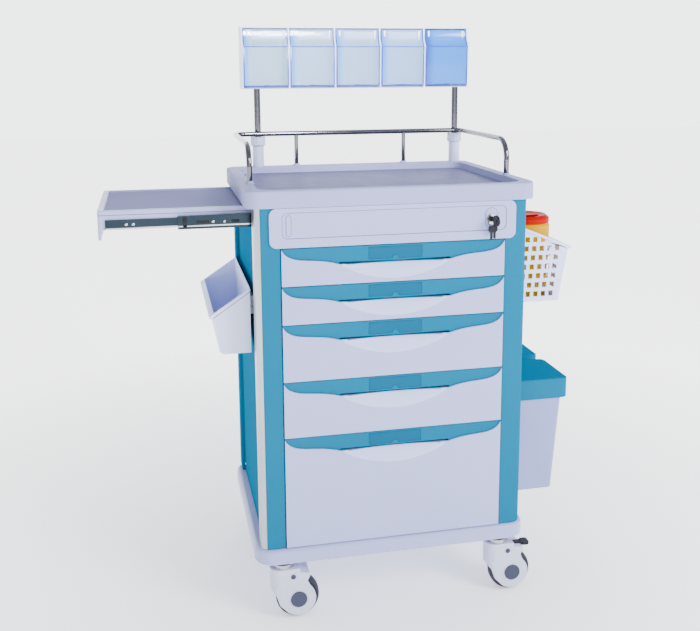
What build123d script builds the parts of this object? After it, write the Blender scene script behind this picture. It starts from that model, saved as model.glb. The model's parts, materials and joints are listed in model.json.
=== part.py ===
from build123d import *
import os

os.makedirs("parts", exist_ok=True)

# ------------------------------------------------------------------ driving dimensions, in mm
# The frame has X to the right, Y to the back and Z up. The front faces -Y.
# Heights are written from a level LIFT above the floor, and save() raises every piece by LIFT.

# base
BASE_W = 617
BASE_D = 486
BASE_R = 42
BASE_LOW = 130
BASE_TOP = 164
BASE_WALL = 5
BASE_ROOF = 6
BASE_BEVEL = 5

# worktop
TOP_W = 625
TOP_D = 484
TOP_R = 30
SKIRT_LOW = 910
RIM_TOP = 947
TOP_WALL = 4
FRONT_RIM = 12
SIDE_RIM = 28
REAR_RIM = 38
TRAY_DEEP = 15
TRAY_R = 34
TRAY_FLOOR = RIM_TOP - TRAY_DEEP
POCKET_TOP = TRAY_FLOOR - TOP_WALL

# columns and panels
COL_OUT = 296
COL_IN = 243
COL_WALL = 3
FRONT_COL = (-232, -190)
REAR_COL = (188, 214)
COL_CORNER_R = 14
COVER_OUT = 284
COVER_T = 4
PANEL_FACE = 288
PANEL_T = 3
SHELF_SLOT_LOW = 856
BACK_FACE = 240.5
REAR_COVER_IN = 262
REAR_COVER_TOP = 909.5

# fascia and lock
FASCIA_W = 532
FASCIA_LOW = 827
FASCIA_TOP = 909.5
FASCIA_FACE = -240
FASCIA_T = 4
LOCK_X = 210
LOCK_Z = 871

# drawers, from the top: the bottom and top of each front
DRAWER_FRONTS = [(746, 825), (664, 744), (540, 662), (416, 538), (166, 414)]
FRONT_HALF = 242
FRONT_FACE = -235
FRONT_T = 14
COVER_PROUD = 4
SKIN_T = 4
BAND_H = 33
WAVE_H = 36.5
SCOOP_HALF = 122
SCOOP_LOW = 71.5
BOX_HALF = 228
BOX_BACK = 150
BOX_T = 2.5
CHANNEL_H = 36
RUNNER_H = 28
SHEET_T = 1.5

# guardrail and rack posts
RAIL_R = 6
RAIL_Z = 1028
RAIL_X = 290
RAIL_FRONT_Y = -115
RAIL_REAR_Y = 212
RAIL_FRONT_BEND = 45
RAIL_REAR_BEND = 25
UPRIGHT_X = 138
UPRIGHT_R = 5
FOOT_H = 6
POST_XS = (-231.5, 278.5)
POST_Y = 227
POST_R = 8
POST_LOW = 897
POST_TOP = 1262
SLEEVE_R = 14
SLEEVE_TOP = 997
GUIDE_R = 10
GUIDE_LOW = 790
COLLAR_R = 18
COLLAR_TOP = 1020
RUNNING_GAP = 0.05

# tilt-bin rack
RACK_LEFT = -274
RACK_RIGHT = 290
RACK_LOW = 1139
RACK_TOP = 1285
RACK_BACK = 216
RACK_T = 3
BINS = 5
DIVIDER_T = 4
BIN_SIDE_GAP = 0.7
BIN_T = 2
BIN_PIN_R = 2.5
BIN_PIVOT = (161, 1149)

# side shelf, modelled drawn out
SHELF_OUT = -605
SHELF_IN = -290
SHELF_FRONT = -158
SHELF_BACK = 168
SHELF_TOP = 906
SHELF_PLATE_TOP = 902
SHELF_SKIRT_LOW = 866
SHELF_PULL_LOW = 845
SHELF_WALL = 3
SLIDE_Z = 877

# utility box on the left
TRAY_BOX_IN = -299
TRAY_BOX_Y = (-150, 185)

# baskets and buckets on the right
HANG_X = 299
BASKET_Y = (-120, 30)
BASKET_T = 2.5
CONTAINER_X = 370
CONTAINER_Y = -45
CONTAINER_LOW = 653
BUCKET_FRONTS = (-120, 63)
BUCKET_D = 143
BUCKET_LOW = 182
BUCKET_TOP = 455
LID_GAP = 5
LID_TOP = 459
LID_LOW = 411
LID_PIVOT = (307, 450)
LID_PIN_R = 2

# casters
KING_X = 248
KING_Y = 215
TRAIL = 30
AXLE_Z = 43
WHEEL_R = 48
WHEEL_HALF = 16
HUB_R = 38
AXLE_R = 5
FORK_HALF = 25
FORK_TOP = 115
STEM_LOW = 115.5
DISC_R = 38
CAVITY_R = 50.5
CAVITY_HALF = 17.5
SLOT_HALF = 10.5
KING_PIN_R = 6
PIN_CAP = (-11.5, 54.5)
PEDAL_PIVOT = (-6, 58)
# the hood's side outline, measured from the axle
HOOD_OUTLINE = [
    (-60, 72),
    (3, 72),
    (4, 62),
    (24.5, 60),
    (26.5, 55.5),
    (20, 41),
    (27, 26.5),
    (0, 0),
    (-25, -28.6),
    (-41, -12),
    (-49, 11),
    (-60, 22.5),
]
LIFT = WHEEL_R - AXLE_Z


# ------------------------------------------------------------------ helpers
def save(piece, node):
    """Raise a finished piece into place, label it, and write it as its own node."""
    piece.part = Pos(0, 0, LIFT) * piece.part
    piece.part.label = node
    export_step(piece.part, f"parts/{node}.step")


def block(xs, ys, zs, mode=Mode.ADD):
    """A box from its low and high corners, inside the part being built."""
    with BuildSketch(Plane.XY.offset(zs[0])) as plan:
        with Locations(((xs[0] + xs[1]) / 2, (ys[0] + ys[1]) / 2)):
            Rectangle(xs[1] - xs[0], ys[1] - ys[0])
    extrude(plan.sketch, amount=zs[1] - zs[0], mode=mode)


def slab(width, depth, radius, zs, middle=(0, 0), mode=Mode.ADD):
    """A plate with rounded corners in plan."""
    with BuildSketch(Plane.XY.offset(zs[0])) as plan:
        with Locations(middle):
            RectangleRounded(width, depth, radius)
    extrude(plan.sketch, amount=zs[1] - zs[0], mode=mode)


def rod_z(x, y, zs, radius, mode=Mode.ADD):
    """An upright round bar."""
    with BuildSketch(Plane.XY.offset(zs[0])) as plan:
        with Locations((x, y)):
            Circle(radius)
    extrude(plan.sketch, amount=zs[1] - zs[0], mode=mode)


def rod_y(x, z, ys, radius, mode=Mode.ADD):
    """A round bar along Y."""
    with BuildSketch(Plane.XZ.offset(-ys[1])) as section:
        with Locations((x, z)):
            Circle(radius)
    extrude(section.sketch, amount=ys[1] - ys[0], mode=mode)


def prism_y(points, ys, mode=Mode.ADD):
    """A profile of (x, z) points, extruded along Y."""
    with BuildSketch(Plane.XZ.offset(-ys[1])) as section:
        Polygon(*points, align=None)
    extrude(section.sketch, amount=ys[1] - ys[0], mode=mode)


def prism_x(points, xs, mode=Mode.ADD):
    """A profile of (y, z) points, extruded along X."""
    with BuildSketch(Plane.YZ.offset(xs[0])) as section:
        Polygon(*points, align=None)
    extrude(section.sketch, amount=xs[1] - xs[0], mode=mode)


def mid(pair):
    """The middle of a pair of limits."""
    return (pair[0] + pair[1]) / 2


# ------------------------------------------------------------------ base and frame
with BuildPart() as base_tray:
    slab(BASE_W, BASE_D, BASE_R, (BASE_LOW, BASE_TOP))
    chamfer(base_tray.faces().sort_by(Axis.Z)[-1].edges(), BASE_BEVEL)
    slab(
        BASE_W - 2 * BASE_WALL,
        BASE_D - 2 * BASE_WALL,
        BASE_R - BASE_WALL,
        (BASE_LOW, BASE_TOP - BASE_ROOF),
        mode=Mode.SUBTRACT,
    )
save(base_tray, "base_tray")

with BuildPart() as corner_columns:
    for side in (-1, 1):
        for ys, corner_r in ((FRONT_COL, COL_CORNER_R), (REAR_COL, 2)):
            with BuildSketch(Plane.XY.offset(BASE_TOP)) as section:
                with Locations((side * mid((COL_IN, COL_OUT)), mid(ys))):
                    Rectangle(COL_OUT - COL_IN, ys[1] - ys[0])
                outer_y = ys[0] if ys[0] < 0 else ys[1]
                corner = section.vertices().sort_by_distance((side * COL_OUT, outer_y, BASE_TOP))[0]
                fillet(corner, corner_r)
                offset(section.faces()[0], amount=-COL_WALL, mode=Mode.SUBTRACT)
            extrude(amount=POCKET_TOP - BASE_TOP)
save(corner_columns, "corner_columns")

with BuildPart() as column_covers:
    COVER_ZS = (BASE_TOP + 1, POCKET_TOP - 1)
    for side in (-1, 1):
        with BuildSketch(Plane.XY.offset(COVER_ZS[0])) as section:
            with Locations((side * mid((COL_IN, COVER_OUT)), FRONT_COL[0] - COVER_T / 2)):
                Rectangle(COVER_OUT - COL_IN, COVER_T)
            fillet(section.vertices().group_by(Axis.Y)[0], 2)
        extrude(amount=COVER_ZS[1] - COVER_ZS[0])
        with BuildSketch(Plane.XY.offset(COVER_ZS[0])) as section:
            with BuildLine():
                Polyline(
                    (side * REAR_COVER_IN, BACK_FACE),
                    (side * COL_OUT, BACK_FACE),
                    (side * COL_OUT, REAR_COL[1]),
                    (side * (COL_OUT - COL_WALL), REAR_COL[1]),
                    (side * (COL_OUT - COL_WALL), BACK_FACE - 2.5),
                    (side * REAR_COVER_IN, BACK_FACE - 2.5),
                    close=True,
                )
            make_face()
            corner = section.vertices().sort_by_distance((side * COL_OUT, BACK_FACE, COVER_ZS[0]))[0]
            fillet(corner, 4)
        extrude(amount=REAR_COVER_TOP - COVER_ZS[0])
save(column_covers, "column_covers")

SIDE_PANEL_Y = (FRONT_COL[1], REAR_COL[0])
with BuildPart() as left_side_panel:
    block((-PANEL_FACE, -PANEL_FACE + PANEL_T), SIDE_PANEL_Y, (BASE_TOP, SHELF_SLOT_LOW))
save(left_side_panel, "left_side_panel")

with BuildPart() as right_side_panel:
    block((PANEL_FACE - PANEL_T, PANEL_FACE), SIDE_PANEL_Y, (BASE_TOP, POCKET_TOP))
save(right_side_panel, "right_side_panel")

with BuildPart() as back_panel:
    panel_half = REAR_COVER_IN - 0.5
    block((-panel_half, panel_half), (BACK_FACE - 2, BACK_FACE), (BASE_TOP, REAR_COVER_TOP))
    # a turned-in flange along the bottom stiffens the sheet
    block((-panel_half, panel_half), (BACK_FACE - 12, BACK_FACE - 2), (BASE_TOP, BASE_TOP + 2))
save(back_panel, "back_panel")

# ------------------------------------------------------------------ worktop, fascia and rail
FOOT_SPOTS = [
    (-RAIL_X, RAIL_FRONT_Y),
    (RAIL_X, RAIL_FRONT_Y),
    (-UPRIGHT_X, RAIL_REAR_Y),
    (UPRIGHT_X, RAIL_REAR_Y),
]
with BuildPart() as worktop:
    slab(TOP_W, TOP_D, TOP_R, (SKIRT_LOW, RIM_TOP))
    fillet(worktop.faces().sort_by(Axis.Z)[-1].edges(), 5)
    fillet(worktop.faces().sort_by(Axis.Z)[0].edges(), 1.5)
    slab(
        TOP_W - 2 * SIDE_RIM,
        TOP_D - FRONT_RIM - REAR_RIM,
        TRAY_R,
        (TRAY_FLOOR, RIM_TOP),
        (0, (FRONT_RIM - REAR_RIM) / 2),
        Mode.SUBTRACT,
    )
    slab(
        TOP_W - 2 * TOP_WALL,
        TOP_D - 2 * TOP_WALL,
        TOP_R - TOP_WALL,
        (SKIRT_LOW, POCKET_TOP),
        mode=Mode.SUBTRACT,
    )
    with Locations([(x, y, RIM_TOP - 1) for x, y in FOOT_SPOTS]):
        Cone(9.5, 7.5, FOOT_H + 1, align=(Align.CENTER, Align.CENTER, Align.MIN))
    for post_x in POST_XS:
        rod_z(post_x, POST_Y, (POCKET_TOP, RIM_TOP), GUIDE_R + RUNNING_GAP, Mode.SUBTRACT)
save(worktop, "worktop")

with BuildPart() as front_fascia:
    with BuildSketch(Plane.XZ.offset(-FASCIA_FACE)) as face:
        with Locations((0, mid((FASCIA_LOW, FASCIA_TOP)))):
            Rectangle(FASCIA_W, FASCIA_TOP - FASCIA_LOW)
        fillet(face.vertices().group_by(Axis.Z)[0], 15)
    extrude(amount=-FASCIA_T)
    fillet(front_fascia.faces().sort_by(Axis.Y)[0].edges(), 1.2)
    with BuildSketch(Plane.XZ.offset(-FASCIA_FACE)):
        with Locations((2, 873)):
            RectangleRounded(484, 54, 12)
    extrude(amount=-0.8, mode=Mode.SUBTRACT)
    for boss_x, boss_w in ((-226, 11), (LOCK_X, 28)):
        with BuildSketch(Plane.XZ.offset(-FASCIA_FACE)):
            with Locations((boss_x, 873)):
                SlotOverall(44, boss_w, rotation=90)
        extrude(amount=-1)
    # the rim behind the plate, which stands between the column covers
    block((-241.5, 241.5), (-236, -222), (829, 908))
    block((-238.5, 238.5), (-236, -222), (832, 905), Mode.SUBTRACT)
    rod_y(LOCK_X, LOCK_Z, (-241, -236), 10, Mode.SUBTRACT)
save(front_fascia, "front_fascia")

with BuildPart() as guardrail:
    foot_z = RIM_TOP + FOOT_H
    with BuildLine() as route:
        FilletPolyline(
            (-RAIL_X, RAIL_FRONT_Y, foot_z),
            (-RAIL_X, RAIL_FRONT_Y, RAIL_Z),
            (-RAIL_X, RAIL_REAR_Y, RAIL_Z),
            (RAIL_X, RAIL_REAR_Y, RAIL_Z),
            (RAIL_X, RAIL_FRONT_Y, RAIL_Z),
            (RAIL_X, RAIL_FRONT_Y, foot_z),
            radius=[RAIL_FRONT_BEND, RAIL_REAR_BEND, RAIL_REAR_BEND, RAIL_FRONT_BEND],
        )
    with BuildSketch(Plane((-RAIL_X, RAIL_FRONT_Y, foot_z), z_dir=(0, 0, 1))):
        Circle(RAIL_R)
    sweep(path=route.wires()[0])
    for side in (-1, 1):
        rod_z(side * UPRIGHT_X, RAIL_REAR_Y, (foot_z, RAIL_Z), UPRIGHT_R)
save(guardrail, "guardrail")

with BuildPart() as post_sleeves:
    for post_x in POST_XS:
        rod_z(post_x, POST_Y, (RIM_TOP, SLEEVE_TOP), SLEEVE_R)
        rod_z(post_x, POST_Y, (GUIDE_LOW, RIM_TOP), GUIDE_R)
        rod_z(post_x, POST_Y, (GUIDE_LOW, SLEEVE_TOP), POST_R + RUNNING_GAP, Mode.SUBTRACT)
save(post_sleeves, "post_sleeves")

for post_x, side_name in zip(POST_XS, ("left", "right")):
    with BuildPart() as collar:
        collar_low = SLEEVE_TOP + 0.4
        rod_z(post_x, POST_Y, (collar_low, COLLAR_TOP), COLLAR_R)
        chamfer(collar.faces().sort_by(Axis.Z)[0].edges(), 3)
        with BuildSketch(Plane.XY.offset(collar_low)):
            with Locations((post_x, POST_Y)):
                with PolarLocations(COLLAR_R + 0.6, 16):
                    Circle(1.6)
        extrude(amount=COLLAR_TOP - collar_low, mode=Mode.SUBTRACT)
        rod_z(post_x, POST_Y, (collar_low, COLLAR_TOP), POST_R + 0.1, Mode.SUBTRACT)
    save(collar, f"collar_{side_name}")

# ------------------------------------------------------------------ fixed slide channels
DRAWER_CHANNEL_Y = (-219, 210)
SHELF_CHANNEL_X = (-285, 20)
SHELF_CHANNEL_Y = {"front": (-176, -168.8), "rear": (178.8, 186)}
with BuildPart() as slide_channels:
    for low, top in DRAWER_FRONTS:
        level = mid((low, top))
        zs = (level - CHANNEL_H / 2, level + CHANNEL_H / 2)
        for side in (-1, 1):
            web = sorted((side * COL_IN, side * (COL_IN - SHEET_T)))
            lip = sorted((side * COL_IN, side * (COL_IN - 8)))
            block(web, DRAWER_CHANNEL_Y, zs)
            block(lip, DRAWER_CHANNEL_Y, (zs[0], zs[0] + SHEET_T))
            block(lip, DRAWER_CHANNEL_Y, (zs[1] - SHEET_T, zs[1]))
    for web_y, lip_ys, spacer_ys in (
        (-176, (-176, -168.8), (-190, -176)),
        (186 - SHEET_T, (178.8, 186), (186, 188)),
    ):
        block(SHELF_CHANNEL_X, (web_y, web_y + SHEET_T), (SLIDE_Z - 18, SLIDE_Z + 18))
        block(SHELF_CHANNEL_X, lip_ys, (SLIDE_Z - 18, SLIDE_Z - 16.5))
        block(SHELF_CHANNEL_X, lip_ys, (SLIDE_Z + 16.5, SLIDE_Z + 18))
        block((-285, -265), spacer_ys, (SLIDE_Z - 18, SLIDE_Z + 18))
save(slide_channels, "slide_channels")

# ------------------------------------------------------------------ drawers
RUNNER_Y = (-217, 140)


def drawer_front(low, top):
    """The coloured carrier, with a label window, a finger pocket and a hollow back."""
    with BuildPart() as carrier:
        face_ys = (FRONT_FACE, FRONT_FACE + FRONT_T)
        block((-FRONT_HALF, FRONT_HALF), face_ys, (low, top))
        hollow_ys = (FRONT_FACE + SKIN_T, face_ys[1])
        for side in (-1, 1):
            hollow_xs = sorted((side * (SCOOP_HALF + 6), side * (FRONT_HALF - 3)))
            block(hollow_xs, hollow_ys, (low + 3, top - 3), Mode.SUBTRACT)
        if top - low > 100:
            block((-SCOOP_HALF, SCOOP_HALF), hollow_ys, (low + 3, top - 80), Mode.SUBTRACT)
        pocket_xs = (-SCOOP_HALF + 1, SCOOP_HALF - 1)
        block(pocket_xs, (face_ys[0], -223), (top - 73, top - BAND_H), Mode.SUBTRACT)
        block(pocket_xs, (-230, -223), (top - 73, top - 22), Mode.SUBTRACT)
        with BuildSketch(Plane.XZ.offset(-FRONT_FACE)):
            with Locations((0, top - 17)):
                Rectangle(116, 26)
            with Locations((0, top - 30)):
                Circle(7, mode=Mode.SUBTRACT)
        extrude(amount=-1.2, mode=Mode.SUBTRACT)
    return carrier


def drawer_cover(low, top):
    """The white cover: a wavy top edge, and a scoop that leans back under the band."""
    with BuildPart() as cover:
        with BuildSketch(Plane.XZ.offset(-FRONT_FACE)):
            with BuildLine():
                left_wave = Spline(
                    (-FRONT_HALF, top - 1),
                    (-228, top - 17),
                    (-209, top - 23.5),
                    (-174, top - 27),
                    (-139, top - 32),
                    (-SCOOP_HALF, top - WAVE_H),
                )
                ThreePointArc(left_wave @ 1, (0, top - 39), (SCOOP_HALF, top - WAVE_H))
                mirror(left_wave, about=Plane.YZ)
                Polyline(
                    (FRONT_HALF, top - 1),
                    (FRONT_HALF, low),
                    (-FRONT_HALF, low),
                    (-FRONT_HALF, top - 1),
                )
            make_face()
        extrude(amount=COVER_PROUD)
        block((-120.5, 120.5), (FRONT_FACE, -223.5), (top - 72.5, top - 39))
        with BuildSketch(Plane.XZ.offset(-FRONT_FACE + COVER_PROUD)):
            with BuildLine():
                ThreePointArc(
                    (-SCOOP_HALF, top - WAVE_H), (0, top - SCOOP_LOW), (SCOOP_HALF, top - WAVE_H)
                )
                Polyline(
                    (SCOOP_HALF, top - WAVE_H),
                    (SCOOP_HALF, top - 20),
                    (-SCOOP_HALF, top - 20),
                    (-SCOOP_HALF, top - WAVE_H),
                )
            make_face()
        extrude(amount=40, dir=(0, 15, 33), mode=Mode.SUBTRACT)
    return cover


def drawer_box(low, top):
    """The open tray behind the front, with its two steel runners."""
    with BuildPart() as box:
        zs = (low + 6, top - 8)
        ys = (FRONT_FACE + FRONT_T, BOX_BACK)
        block((-BOX_HALF, BOX_HALF), ys, zs)
        inner = BOX_HALF - BOX_T
        block((-inner, inner), (ys[0] + BOX_T, ys[1] - BOX_T), (zs[0] + BOX_T, zs[1]), Mode.SUBTRACT)
        level = mid((low, top))
        runner_zs = (level - RUNNER_H / 2, level + RUNNER_H / 2)
        for side in (-1, 1):
            web = sorted((side * BOX_HALF, side * (BOX_HALF + SHEET_T)))
            lip = sorted((side * BOX_HALF, side * (BOX_HALF + 12)))
            block(web, RUNNER_Y, runner_zs)
            block(lip, RUNNER_Y, (runner_zs[0], runner_zs[0] + SHEET_T))
            block(lip, RUNNER_Y, (runner_zs[1] - SHEET_T, runner_zs[1]))
    return box


for number, (low, top) in enumerate(DRAWER_FRONTS, start=1):
    save(drawer_box(low, top), f"drawer_{number}_box")
    save(drawer_front(low, top), f"drawer_{number}_front")
    save(drawer_cover(low, top), f"drawer_{number}_cover")

# ------------------------------------------------------------------ side shelf and its slides
with BuildPart() as shelf_tray:
    shelf_ys = (SHELF_FRONT, SHELF_BACK)
    block((SHELF_OUT, SHELF_IN), shelf_ys, (SHELF_SKIRT_LOW, SHELF_TOP))
    block((SHELF_OUT, SHELF_OUT + 6), shelf_ys, (SHELF_PULL_LOW, SHELF_TOP))
    fillet(shelf_tray.edges().filter_by(Axis.Z).group_by(Axis.X)[0], 5)
    fillet(shelf_tray.faces().sort_by(Axis.Z)[-1].edges(), 1.5)
    block(
        (SHELF_OUT + 12, SHELF_IN - 8),
        (SHELF_FRONT + 8, SHELF_BACK - 8),
        (SHELF_PLATE_TOP, SHELF_TOP),
        Mode.SUBTRACT,
    )
    block(
        (SHELF_OUT + 6, SHELF_IN),
        (SHELF_FRONT + SHELF_WALL, SHELF_BACK - SHELF_WALL),
        (SHELF_SKIRT_LOW, SHELF_PLATE_TOP - SHELF_WALL),
        Mode.SUBTRACT,
    )
save(shelf_tray, "shelf_tray")

with BuildPart() as shelf_slide_inner:
    for ys in ((SHELF_FRONT - 3.5, SHELF_FRONT), (SHELF_BACK, SHELF_BACK + 3.5)):
        block((SHELF_OUT + 15, SHELF_IN - 2), ys, (SLIDE_Z - 10, SLIDE_Z + 10))
save(shelf_slide_inner, "shelf_slide_inner")

with BuildPart() as shelf_slide_middle:
    for web_y, lip_ys in ((-168, (-168, -162.2)), (178 - SHEET_T, (172.2, 178))):
        block((-445, -135), (web_y, web_y + SHEET_T), (SLIDE_Z - 14, SLIDE_Z + 14))
        block((-445, -135), lip_ys, (SLIDE_Z - 14, SLIDE_Z - 12.5))
        block((-445, -135), lip_ys, (SLIDE_Z + 12.5, SLIDE_Z + 14))
save(shelf_slide_middle, "shelf_slide_middle")

# ------------------------------------------------------------------ left utility box
with BuildPart() as utility_box:
    outline = [
        (TRAY_BOX_IN, 584),
        (-366, 584),
        (-380, 672),
        (TRAY_BOX_IN, 727),
    ]
    prism_y(outline, TRAY_BOX_Y)
    lower_outer = utility_box.edges().filter_by(Axis.Y).sort_by_distance((-366, 0, 584))[0]
    fillet(lower_outer, 12)
    # the mouth's turned-out lip, along its sloped edges
    lip_outline = [(TRAY_BOX_IN, 727), (TRAY_BOX_IN, 721), (-380, 666), (-387, 664), (-387, 669)]
    prism_y(lip_outline, (TRAY_BOX_Y[0] - 4, TRAY_BOX_Y[1] + 4))
    cavity = [
        (TRAY_BOX_IN - 2.5, 587),
        (-357, 587),
        (-363, 592),
        (-377, 670),
        (-377, 700),
        (-330, 740),
        (TRAY_BOX_IN - 2.5, 740),
    ]
    prism_y(cavity, (TRAY_BOX_Y[0] + 2.5, TRAY_BOX_Y[1] - 2.5), Mode.SUBTRACT)
save(utility_box, "utility_box")

# ------------------------------------------------------------------ sharps basket and container
BASKET_OUTLINE = [(HANG_X, 650), (424, 650), (446, 778), (HANG_X, 840)]
with BuildPart() as sharps_basket:
    prism_y(BASKET_OUTLINE, BASKET_Y)
    rim_outline = [(HANG_X, 840), (HANG_X, 835), (446, 773), (453, 774), (453, 778)]
    prism_y(rim_outline, (BASKET_Y[0] - 4, BASKET_Y[1] + 4))
    cavity = [
        (HANG_X + BASKET_T, 650 + BASKET_T),
        (424 - BASKET_T, 650 + BASKET_T),
        (446 - BASKET_T, 778),
        (446 - BASKET_T, 860),
        (HANG_X + BASKET_T, 860),
    ]
    prism_y(cavity, (BASKET_Y[0] + BASKET_T, BASKET_Y[1] - BASKET_T), Mode.SUBTRACT)
    # square perforations: seven rows, each set a little further in than the one above
    for row in range(7):
        row_z = 668 + 21.5 * row
        lean = 2.5 * row
        reach = 6 if row < 6 else 4
        with BuildSketch(Plane.XZ.offset(-BASKET_Y[1])):
            with Locations([(311 + lean + 18.8 * step, row_z) for step in range(reach)]):
                Rectangle(10.8, 12.4)
        extrude(amount=BASKET_Y[1] - BASKET_Y[0], mode=Mode.SUBTRACT)
    with BuildSketch(Plane.YZ.offset(405)):
        with Locations((mid(BASKET_Y), 668 + 2 * 21.5)):
            with GridLocations(19.5, 21.5, 6, 5):
                Rectangle(11, 12.4)
    extrude(amount=60, mode=Mode.SUBTRACT)
save(sharps_basket, "sharps_basket")

with BuildPart() as sharps_container:
    with BuildSketch(Plane.XZ.offset(-CONTAINER_Y)):
        Polygon(
            (CONTAINER_X, CONTAINER_LOW),
            (CONTAINER_X + 50, CONTAINER_LOW),
            (CONTAINER_X + 55.5, 822),
            (CONTAINER_X + 50, 828),
            (CONTAINER_X + 50, 834),
            (CONTAINER_X + 48, 834),
            (CONTAINER_X + 48, 827),
            (CONTAINER_X + 53.4, 821),
            (CONTAINER_X + 48.2, CONTAINER_LOW + 2),
            (CONTAINER_X, CONTAINER_LOW + 2),
            align=None,
        )
    revolve(axis=Axis((CONTAINER_X, CONTAINER_Y, 0), (0, 0, 1)))
save(sharps_container, "sharps_container")

with BuildPart() as sharps_lid:
    with BuildSketch(Plane.XZ.offset(-CONTAINER_Y)):
        Polygon(
            (CONTAINER_X + 50.1, 828.4),
            (CONTAINER_X + 54, 828.4),
            (CONTAINER_X + 54, 839),
            (CONTAINER_X + 46, 846),
            (CONTAINER_X + 30, 843),
            (CONTAINER_X + 30, 841),
            (CONTAINER_X + 45, 843.6),
            (CONTAINER_X + 50.1, 838),
            align=None,
        )
    revolve(axis=Axis((CONTAINER_X, CONTAINER_Y, 0), (0, 0, 1)))
    # the half cover over the mouth
    with BuildSketch(Plane.XY.offset(841)):
        with Locations((CONTAINER_X, CONTAINER_Y)):
            Circle(31)
        with Locations((CONTAINER_X, CONTAINER_Y - 18)):
            Rectangle(70, 30, mode=Mode.SUBTRACT)
    extrude(amount=2)
save(sharps_lid, "sharps_lid")

# ------------------------------------------------------------------ waste buckets and lids
BUCKET_PLAN = ((HANG_X, 424), (HANG_X, 446))


def bucket_frame(plan_xs, front, inset, level):
    """One cross-section of a bucket, at its own height."""
    with BuildSketch(Plane.XY.offset(level)) as plan:
        with Locations((mid(plan_xs), front + BUCKET_D / 2)):
            RectangleRounded(plan_xs[1] - plan_xs[0] - 2 * inset, BUCKET_D - 2 * inset, 10 - inset)
    return plan.sketch


with BuildPart() as waste_buckets:
    for front in BUCKET_FRONTS:
        outer_low = bucket_frame(BUCKET_PLAN[0], front, 0, BUCKET_LOW)
        outer_top = bucket_frame(BUCKET_PLAN[1], front, 0, BUCKET_TOP)
        loft([outer_low, outer_top])
        inner_low = bucket_frame(BUCKET_PLAN[0], front, 3, BUCKET_LOW + 3)
        inner_top = bucket_frame(BUCKET_PLAN[1], front, 3, BUCKET_TOP)
        loft([inner_low, inner_top], mode=Mode.SUBTRACT)
        # the inner wall stops short, so that the lid can turn about its pins
        block((HANG_X, 304), (front, front + BUCKET_D), (438, BUCKET_TOP), Mode.SUBTRACT)
        rod_y(
            LID_PIVOT[0],
            LID_PIVOT[1],
            (front, front + BUCKET_D),
            LID_PIN_R + RUNNING_GAP,
            Mode.SUBTRACT,
        )
save(waste_buckets, "waste_buckets")

for front, lid_name in zip(BUCKET_FRONTS, ("waste_lid_front", "waste_lid_rear")):
    with BuildPart() as waste_lid:
        lid_ys = (front - LID_GAP, front + BUCKET_D + LID_GAP)
        lid_xs = (303, 457)
        block(lid_xs, lid_ys, (LID_LOW, LID_TOP))
        fillet(waste_lid.edges().filter_by(Axis.Z).group_by(Axis.X)[-1], 16)
        fillet(waste_lid.faces().sort_by(Axis.Z)[-1].edges().group_by(Axis.X)[-1], 2.5)
        slab(154, BUCKET_D + 4, 13, (LID_LOW, LID_TOP - 3), (377, mid(lid_ys)), Mode.SUBTRACT)
        block((300, 320), (lid_ys[0] + 3, lid_ys[1] - 3), (LID_LOW, LID_TOP - 3), Mode.SUBTRACT)
        for pin_ys in ((lid_ys[0] + 2, front + 2.2), (front + BUCKET_D - 2.2, lid_ys[1] - 2)):
            rod_y(LID_PIVOT[0], LID_PIVOT[1], pin_ys, LID_PIN_R)
    save(waste_lid, lid_name)

# ------------------------------------------------------------------ hooks that carry the accessories
with BuildPart() as accessory_brackets:
    for front in BUCKET_FRONTS:
        block((PANEL_FACE, HANG_X), (front + 20, front + BUCKET_D - 20), (380, 420))
    block((PANEL_FACE, HANG_X), (-100, 10), (780, 810))
    block((TRAY_BOX_IN, -PANEL_FACE), (-110, 140), (660, 700))
save(accessory_brackets, "accessory_brackets")

# ------------------------------------------------------------------ lock and keys
with BuildPart() as lock_housing:
    rod_y(LOCK_X, LOCK_Z, (-243.5, -241), 11)
    rod_y(LOCK_X, LOCK_Z, (-241, -222), 9.9)
    rod_y(LOCK_X, LOCK_Z, (-243.5, -222), 6 + RUNNING_GAP, Mode.SUBTRACT)
save(lock_housing, "lock_housing")

with BuildPart() as lock_key:
    rod_y(LOCK_X, LOCK_Z, (-244.5, -221), 6)
    rod_y(LOCK_X, LOCK_Z, (-255, -244.5), 2.2)
    block((LOCK_X - 5, LOCK_X + 5), (-221, -218.5), (LOCK_Z - 8, LOCK_Z + 30))
    with BuildSketch(Plane.YZ.offset(LOCK_X - 2.5)):
        with Locations((-269, LOCK_Z)):
            Ellipse(16, 11.5)
        with Locations((-277, LOCK_Z)):
            Circle(2.5, mode=Mode.SUBTRACT)
    extrude(amount=5)
save(lock_key, "lock_key")

with BuildPart() as spare_keys:
    ring_z = LOCK_Z - 6.2
    with BuildSketch(Plane((LOCK_X + 9.8, -249, ring_z), x_dir=(1, 0, 0), z_dir=(0, 0, 1))):
        Circle(0.8)
    revolve(axis=Axis((LOCK_X, -249, ring_z), (0, 1, 0)))
    for key_x, key_y in ((LOCK_X - 4, -251.4), (LOCK_X + 5, -246.6)):
        with BuildSketch(Plane.XZ.offset(-key_y - 1.1)):
            with Locations((key_x, ring_z - 14)):
                RectangleRounded(13, 15, 5)
            with Locations((key_x, ring_z - 28)):
                Rectangle(5, 15)
        extrude(amount=2.2)
        block((key_x - 2, key_x + 2), sorted((key_y, -249)), (ring_z - 11.6, ring_z - 9.2))
save(spare_keys, "spare_keys")

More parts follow.
